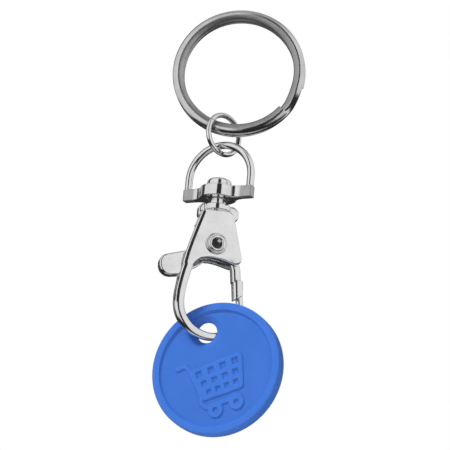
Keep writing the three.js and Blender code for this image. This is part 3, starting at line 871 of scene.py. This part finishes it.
def cart_relief():
    """The raised cart as a closed patch whose foot lies just under the field."""
    pitch, sunk, draft, patch_t = 0.075, 0.03, 0.13, 0.4
    from_left, from_below = (-7.5, 5.9), (-8.95, 3.1)  # reach of the patch round the cart
    u, v = np.meshgrid(np.arange(*from_left, pitch), np.arange(*from_below, pitch))
    away = cart_distance(u, v)
    t = np.clip(0.5 - away / (2 * draft), 0, 1)
    height = -sunk + (RELIEF + sunk) * t * t * (3 - 2 * t)
    rows, cols = u.shape
    face = FIELD_T / 2
    top = np.column_stack([u.ravel(), -(face + height).ravel(), v.ravel()])
    low = np.column_stack([u.ravel(), np.full(u.size, -face + patch_t), v.ravel()])
    verts = np.vstack([top, low])
    grid = np.arange(rows * cols).reshape(rows, cols)
    a, b = grid[:-1, :-1].ravel(), grid[:-1, 1:].ravel()
    c, d = grid[1:, 1:].ravel(), grid[1:, :-1].ravel()
    faces = np.column_stack([a, b, c, d]).tolist()
    under = rows * cols
    edge = np.concatenate([grid[0, :], grid[1:, -1], grid[-1, -2::-1], grid[-2:0:-1, 0]])
    for i, k in enumerate(edge):
        n = edge[(i + 1) % len(edge)]
        faces.append((int(k), int(k + under), int(n + under), int(n)))
    faces.append(tuple(int(k + under) for k in edge))
    used = np.zeros(len(verts), bool)
    used[: rows * cols] = True
    used[edge + under] = True
    number = np.cumsum(used) - 1
    faces = [tuple(int(number[k]) for k in f) for f in faces]
    return scratch(verts[used], faces)


def token_disc():
    """The disc: a raised rim round a sunk field on both sides, and a parting line."""
    f, t = FIELD_T / 2, TOKEN_T / 2
    inner = TOKEN_R - RIM_WIDTH
    half = arc((inner - 0.2, f + 0.08), 0.08, -90, -60, 2)
    half += [(inner - 0.02, f + 0.12), (inner + 0.06, t - 0.1)]
    half += arc((inner + 0.2, t - 0.13), 0.13, 170, 90, 4)
    half += arc((TOKEN_R - 0.3, t - 0.28), 0.28, 90, 8, 6)
    half += [(TOKEN_R - 0.015, 0.09), (TOKEN_R, 0.04)]
    profile = [(0, f), *half, *[(r, -y) for r, y in reversed(half)], (0, -f)]
    return turned(profile, segments=256)


def token_hole():
    """What is cut away for the hole: a dished countersink on both sides of a short bore."""
    dish = [(0, 1.3), (3.1, 1.3), (3.05, 1.1), (2.95, 0.86), (2.8, 0.75), (2.55, 0.62), (2.25, 0.44)]
    dish += [(2.0, 0.3), (HOLE_R + 0.04, 0.19), (HOLE_R, 0.1)]
    hole = turned([*dish, *[(r, -y) for r, y in reversed(dish)]])
    hole.data.transform(Matrix.Translation((0, 0, HOLE_UP)))
    return hole


def trolley_token():
    """The disc with the cart raised on both faces, and the hole near its top."""
    relief = cart_relief()
    back = relief.copy()
    back.data = relief.data.copy()
    bpy.context.scene.collection.objects.link(back)
    back.data.transform(Matrix.Rotation(math.pi, 4, "Z"))
    body = cut(joined(token_disc(), relief, back), token_hole())
    polished_and_lit_from, fade = 0.05, 0.12
    above_field = np.abs(points_of(body)[:, 1]) - FIELD_T / 2
    # The raised value makes these faces smoother and also paints them lighter: painted light.
    mark(body, "raised", np.clip((above_field - polished_and_lit_from) / fade, 0, 1))
    made = piece(body, "token_disc", TOKEN_FRAME, "token", BLUE_PLASTIC, sharp=48)
    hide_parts("trolley_token")


split_ring()
jump_ring()
swivel_eye()
hook_body()
pivot_rivet()
gate_lever()
gate_spring()
trolley_token()


# ---- studio -------------------------------------------------------------------------------------
# Brightness that reflections see round the compass: azimuth 0 is straight in front of the fob,
# positive to the right, and plus or minus 180 is straight behind it.
BELT = [
    (-180, 0.6), (-154, 0.62), (-151, 0.05), (-135, 0.05), (-131, 0.42), (-119, 0.38), (-115, 0.04),
    (-94, 0.04), (-90, 0.8), (-58, 0.82), (-40, 0.88), (-7, 0.9), (-4, 0.03), (22, 0.03), (26, 0.88),
    (75, 0.85), (128, 0.8), (134, 0.4), (160, 0.42), (179, 0.6),
]
ZENITH, UNDERFOOT = 0.5, 0.6
BELOW, BEHIND_BELOW = 0.025, 0.03  # between the belt and underfoot
AMBIENT = 0.18  # what matt faces receive from all round
# Heights and azimuths, in degrees, over which one brightness passes into the next.
BELT_TO_ZENITH = (48, 74)
UNDERFOOT_TO_BELOW = (-66, -50)
BELOW_TO_BELT = (-30, -19)
BEHIND_BELOW_TO_BELT = (-11, -2)
FRONT_TO_BEHIND = (62, 92)


def camera():
    """Seen from slightly below and to the right of square on, with the chain leaning a little."""
    data = bpy.data.cameras.new("camera")
    data.lens = 184.9
    data.sensor_width = 36
    data.clip_start, data.clip_end = 0.01, 20
    cam = bpy.data.objects.new("camera", data)
    # Place and axes come from one perspective fit of the photograph.
    place = (0.05167, -0.37899, -0.15477)
    right = Vector((0.99035, 0.10881, 0.0857)).normalized()
    back = Vector((0.12936, -0.94752, -0.29234)).normalized()
    up = back.cross(right).normalized()
    right = up.cross(back)
    turn = Matrix((right, up, back)).transposed().to_4x4()
    cam.matrix_world = Matrix.Translation(place) @ turn
    bpy.context.scene.collection.objects.link(cam)
    bpy.context.scene.camera = cam


def studio_world():
    """A white surround for the camera, and an even AMBIENT light for matt faces. Reflections see
    the BELT of bright and dark stretches round the compass, ZENITH above it, and near darkness
    below it, which reaches higher behind the fob than in front, down to UNDERFOOT."""
    world = bpy.data.worlds.new("studio")
    bpy.context.scene.world = world
    world.use_nodes = True
    tree = world.node_tree
    tree.nodes.clear()
    new, link = tree.nodes.new, tree.links.new

    def maths(kind, a, b=0.0):
        node = new("ShaderNodeMath")
        node.operation = kind
        for socket, value in zip(node.inputs, (a, b)):
            if isinstance(value, bpy.types.NodeSocket):
                link(value, socket)
            else:
                socket.default_value = value
        return node.outputs[0]

    def rising(value, limits):
        node = new("ShaderNodeMapRange")
        node.interpolation_type = "SMOOTHSTEP"
        link(value, node.inputs["Value"])
        node.inputs["From Min"].default_value, node.inputs["From Max"].default_value = limits
        return node.outputs["Result"]

    place = new("ShaderNodeTexCoord")
    parts = new("ShaderNodeSeparateXYZ")
    link(place.outputs["Generated"], parts.inputs[0])
    x, y, z = parts.outputs
    turn = maths("ARCTAN2", x, maths("MULTIPLY", y, -1.0))
    round_compass = maths("ADD", maths("MULTIPLY", turn, 0.5 / math.pi), 0.5)
    height = maths("MULTIPLY", maths("ARCSINE", z), 180 / math.pi)
    stops = [((azimuth + 180) / 360, grey(value)) for azimuth, value in BELT]
    belt = ramp(tree, round_compass, stops)
    above = mixed(tree, rising(height, BELT_TO_ZENITH), belt, grey(ZENITH))
    away = maths("ABSOLUTE", maths("MULTIPLY", turn, 180 / math.pi))
    behind = rising(away, FRONT_TO_BEHIND)
    low_down = mixed(tree, behind, grey(BELOW), grey(BEHIND_BELOW))
    under = mixed(tree, rising(height, UNDERFOOT_TO_BELOW), grey(UNDERFOOT), low_down)
    front_edge, back_edge = rising(height, BELOW_TO_BELT), rising(height, BEHIND_BELOW_TO_BELT)
    all_round = mixed(tree, mixed(tree, behind, front_edge, back_edge), under, above)

    surround = new("ShaderNodeBackground")
    surround.inputs["Color"].default_value = (1, 1, 1, 1)
    lit = new("ShaderNodeBackground")
    path = new("ShaderNodeLightPath")
    link(mixed(tree, path.outputs["Is Glossy Ray"], grey(AMBIENT), all_round), lit.inputs["Color"])
    mix = new("ShaderNodeMixShader")
    link(path.outputs["Is Camera Ray"], mix.inputs["Fac"])
    link(lit.outputs[0], mix.inputs[1])
    link(surround.outputs[0], mix.inputs[2])
    out = new("ShaderNodeOutputWorld")
    link(mix.outputs[0], out.inputs["Surface"])


def soft_light(name, place, size, watts):
    """A round lamp aimed at the fob that lights it without showing in its reflections."""
    data = bpy.data.lights.new(name, "AREA")
    data.shape = "DISK"
    data.size = size
    data.energy = watts
    lamp = bpy.data.objects.new(name, data)
    lamp.location = place
    middle = (cad_box[0] + cad_box[1]) / 2
    lamp.rotation_mode = "QUATERNION"
    lamp.rotation_quaternion = (Vector(place) - middle).to_track_quat("Z", "Y")
    lamp.visible_camera = False
    lamp.visible_glossy = False
    bpy.context.scene.collection.objects.link(lamp)


def floor():
    """A pale sheet well below the hanging fob, which glows faintly to stay near white."""
    size, drop, glow = 3.0, 0.3, 0.24
    verts = [(-size, -size, -drop), (size, -size, -drop), (size, size, -drop), (-size, size, -drop)]
    mesh = bpy.data.meshes.new("floor")
    mesh.from_pydata(verts, [], [(0, 1, 2, 3)])
    sheet = bpy.data.objects.new("floor", mesh)
    bpy.context.scene.collection.objects.link(sheet)
    material, tree, shader = node_material("floor_paper")
    paper = noise(tree, 0.01, detail=3, rough=0.5)
    colour = ramp(tree, paper, [(0.3, grey(0.8)), (0.7, grey(0.84))])
    tree.links.new(colour, shader.inputs["Base Color"])
    shader.inputs["Roughness"].default_value = 0.9
    shader.inputs["Emission Color"].default_value = (1, 1, 1, 1)
    shader.inputs["Emission Strength"].default_value = glow
    mesh.materials.append(material)
    sheet.visible_glossy = False


camera()
studio_world()
soft_light("key", (-0.55, -0.38, 0.62), size=0.22, watts=7.0)
soft_light("fill", (0.5, -0.6, 0.1), size=0.6, watts=1.0)
floor()
bpy.context.scene.view_settings.view_transform = "Standard"
